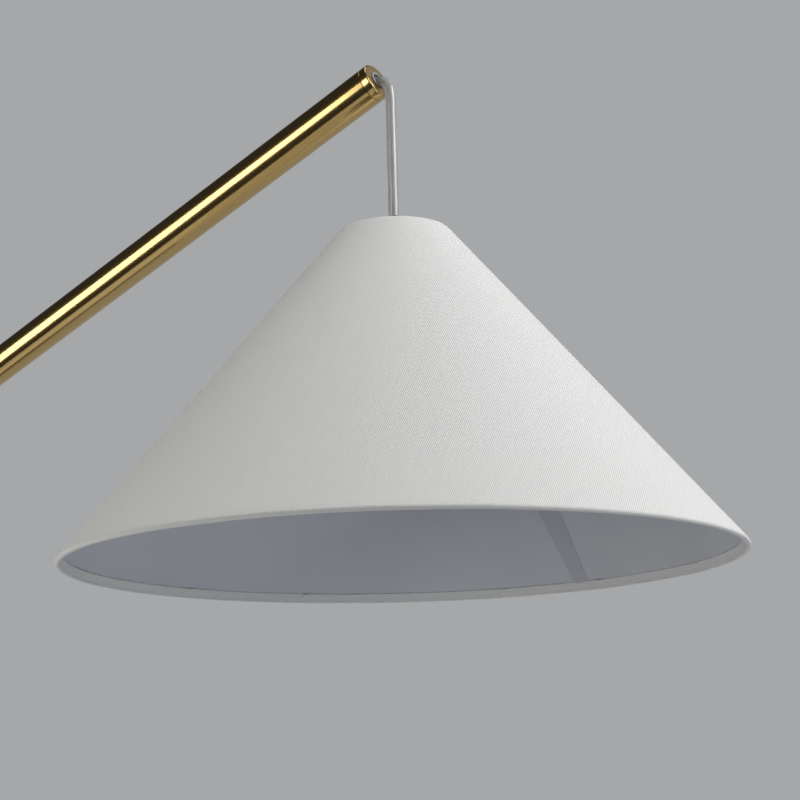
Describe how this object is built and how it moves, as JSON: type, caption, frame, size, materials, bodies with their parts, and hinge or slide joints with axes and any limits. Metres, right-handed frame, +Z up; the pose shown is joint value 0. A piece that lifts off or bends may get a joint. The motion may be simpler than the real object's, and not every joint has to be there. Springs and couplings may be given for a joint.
{
  "type": "floor lamp",
  "caption": "Floor lamp with a straight counterweighted brass arm on a tilting, swivelling head and a conical fabric shade that hangs by its cord",
  "frame": {"origin": "centre of the base where it stands on the floor", "axes": "+Z up along the pole, +X the way the arm reaches, the arm in the XZ plane"},
  "size_m": [1.4561, 0.4318, 1.7626],
  "materials": {
    "satin_brass": "satin brushed, lacquered",
    "zinc_steel": "bright zinc plated",
    "clear_pvc_cord": "clear PVC over tinned braid",
    "grey_felt": "pressed felt",
    "cast_iron": "as cast, painted",
    "black_nylon": "moulded, satin",
    "white_nylon": "moulded",
    "clear_bush": "translucent, moulded",
    "porcelain": "glazed porcelain",
    "thin_brass": "bright stamped",
    "white_wire": "white powder coat",
    "white_linen": "plain woven, off-white",
    "styrene_liner": "smooth laminated film",
    "clear_glass": "blown, clear",
    "nickel_cap": "nickel plated",
    "filament": "yellow phosphor rods"
  },
  "bodies": {
    "root": {"felt_pad": "grey_felt", "base_weight": "cast_iron", "base_cover": "satin_brass", "cable_gland": "black_nylon", "base_stud": "zinc_steel", "base_washer": "zinc_steel", "base_nut": "zinc_steel", "pole_foot": "satin_brass", "pole_lower": "satin_brass", "pole_upper": "satin_brass", "pole_joiner": "zinc_steel", "pole_cap": "satin_brass", "stop_pin": "zinc_steel", "swivel_washer": "white_nylon", "pole_cable": "clear_pvc_cord"},
    "head": {"yoke": "satin_brass", "spindle_washer": "zinc_steel", "spindle_nut": "zinc_steel", "head_cable": "clear_pvc_cord"},
    "arm": {"arm_saddle": "satin_brass", "saddle_screws": "zinc_steel", "tilt_screw": "satin_brass", "tilt_stud": "zinc_steel", "friction_washers": "white_nylon", "outer_washers": "white_nylon", "arm_tube_front": "satin_brass", "arm_tube_rear": "satin_brass", "arm_joiner": "zinc_steel", "counterweight": "satin_brass", "arm_end_cap": "satin_brass", "tip_bush": "clear_bush", "arm_cable": "clear_pvc_cord"},
    "tilt_knob": {"tilt_knob": "satin_brass"},
    "cord_hang": {"cord_bend": "clear_pvc_cord"},
    "pendant": {"pendant_cord": "clear_pvc_cord", "cord_grip": "black_nylon", "holder_cap": "satin_brass", "holder_shell": "satin_brass", "socket_core": "porcelain", "thread_shell": "thin_brass", "centre_contact": "thin_brass", "shade_ring": "black_nylon", "spider_ring": "white_wire", "rim_ring": "white_wire", "shade_fabric": "white_linen", "shade_liner": "styrene_liner", "liner_seam": "styrene_liner"},
    "switch_key": {"switch_key": "black_nylon"},
    "bulb": {"bulb_glass": "clear_glass", "bulb_cap": "nickel_cap", "bulb_contact": "thin_brass", "bulb_filament": "filament"}
  },
  "joints": [
    {"name": "arm_swivel", "type": "hinge", "parent": "root", "child": "head", "pos_m": [0, 0, 1.3835], "axis": [0, 0, 1], "range_deg": [-160, 160]},
    {"name": "arm_tilt", "type": "hinge", "parent": "head", "child": "arm", "pos_m": [0, 0, 1.42], "axis": [0, -1, 0], "range_deg": [-20, 20], "deforming": ["head_cable"]},
    {"name": "tilt_knob_turn", "type": "hinge", "parent": "arm", "child": "tilt_knob", "pos_m": [0, -0.0229, 1.42], "axis": [0, -1, 0], "continuous": true},
    {"name": "pendant_level", "type": "hinge", "parent": "arm", "child": "cord_hang", "pos_m": [0.82649, 0, 1.73428], "axis": [0, -1, 0], "range_deg": [-20, 20], "deforming": ["cord_bend"]},
    {"name": "pendant_sway", "type": "hinge", "parent": "cord_hang", "child": "pendant", "pos_m": [0.82649, 0, 1.73428], "axis": [1, 0, 0], "range_deg": [-20, 20]},
    {"name": "switch_key_turn", "type": "hinge", "parent": "pendant", "child": "switch_key", "pos_m": [0.82649, 0.0264, 1.58465], "axis": [0, 1, 0], "continuous": true},
    {"name": "bulb_out", "type": "slide", "parent": "pendant", "child": "bulb", "axis": [0, 0, -1], "range_m": [0, 0.05]}
  ],
  "couplings": [
    {"joint": "pendant_level", "follows": "arm_tilt", "ratio": -1}
  ]
}
